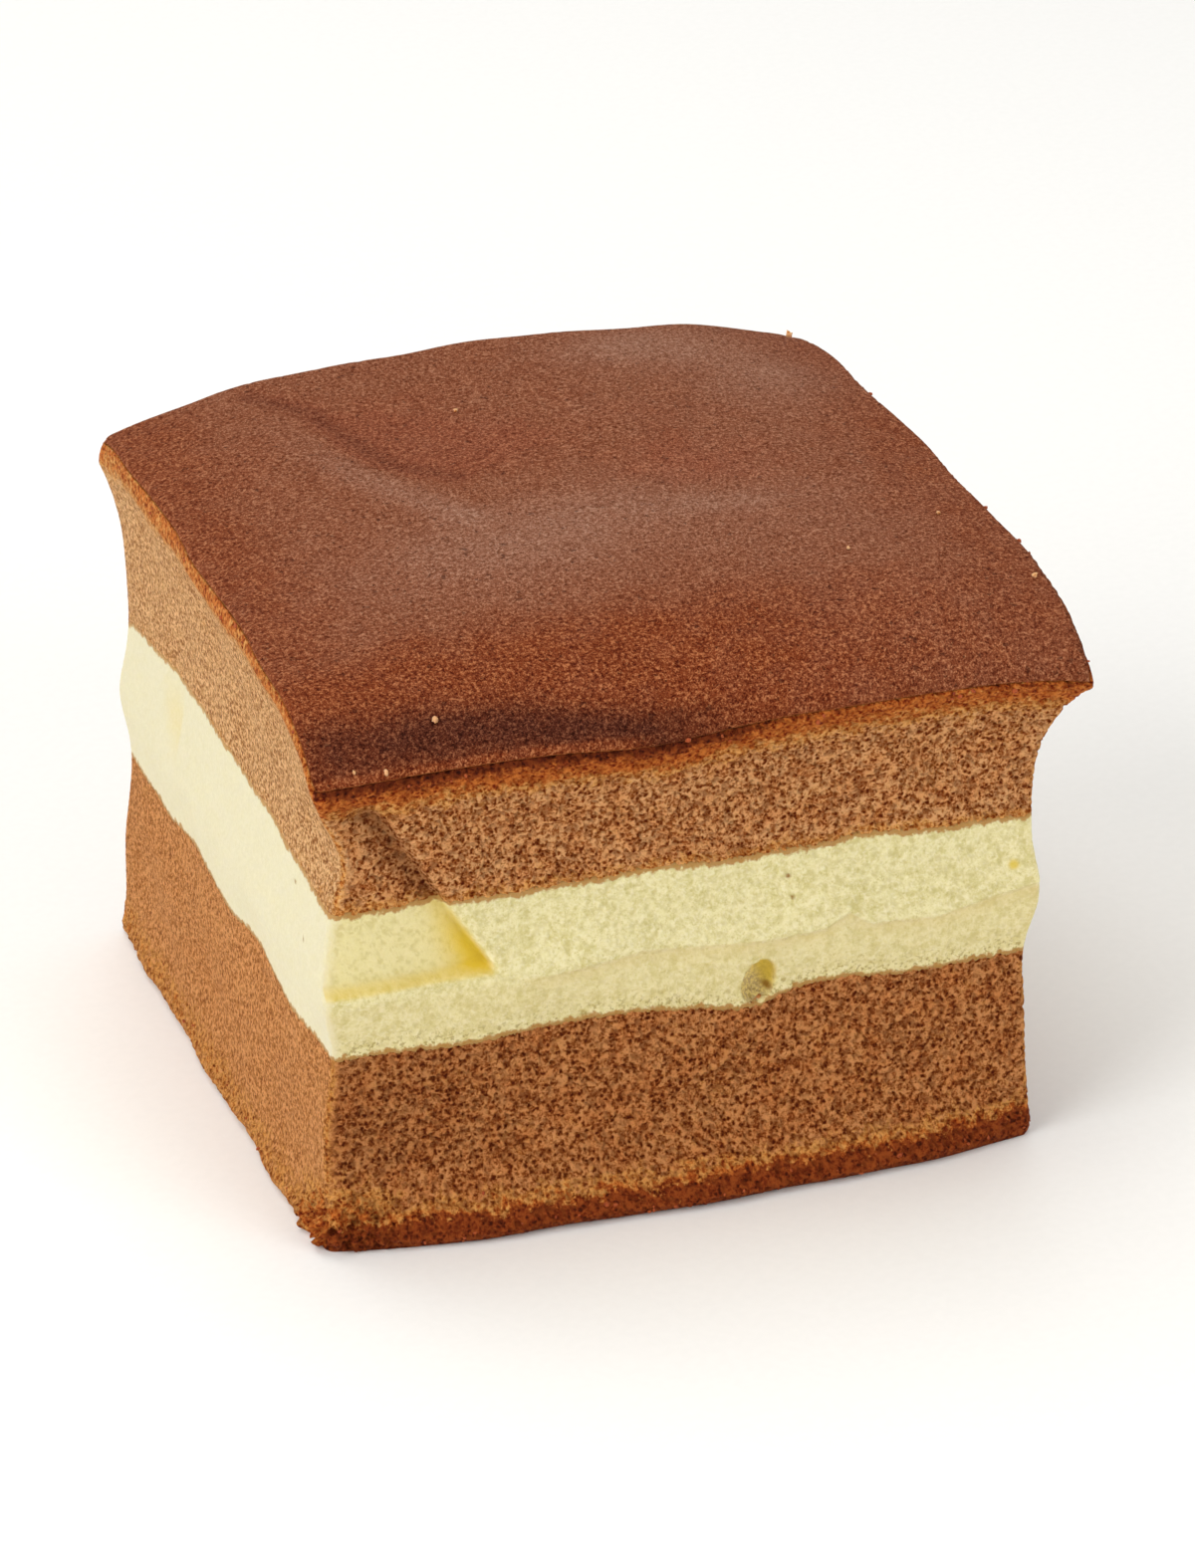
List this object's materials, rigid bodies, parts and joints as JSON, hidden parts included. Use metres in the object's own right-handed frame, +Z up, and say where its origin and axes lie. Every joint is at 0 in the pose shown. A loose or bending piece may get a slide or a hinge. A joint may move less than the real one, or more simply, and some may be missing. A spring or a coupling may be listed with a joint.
{
  "type": "square piece of layered chiffon cake",
  "caption": "Square-cut piece of soft chiffon cake: cocoa sponge, pale vanilla sponge and cocoa sponge, with a domed browned top whose skin spreads over the cut sides.",
  "frame": {"origin": "middle of the underside of the whole piece, on the surface it stands on", "axes": "+Z up through the layers; -Y out of the front cut face, with the open bubble; -X out of the left cut face"},
  "size_m": [0.0816, 0.083, 0.0639],
  "materials": {
    "cocoa_sponge": "matte open crumb, browner at the foot",
    "vanilla_sponge": "matte fine crumb, slightly translucent",
    "browned_cocoa_sponge": "fine dry browned skin with a faint sheen over matte crumb"
  },
  "bodies": {
    "root": {"cocoa_base_layer": "cocoa_sponge", "vanilla_middle_layer": "vanilla_sponge", "cocoa_top_layer": "browned_cocoa_sponge"}
  },
  "joints": []
}
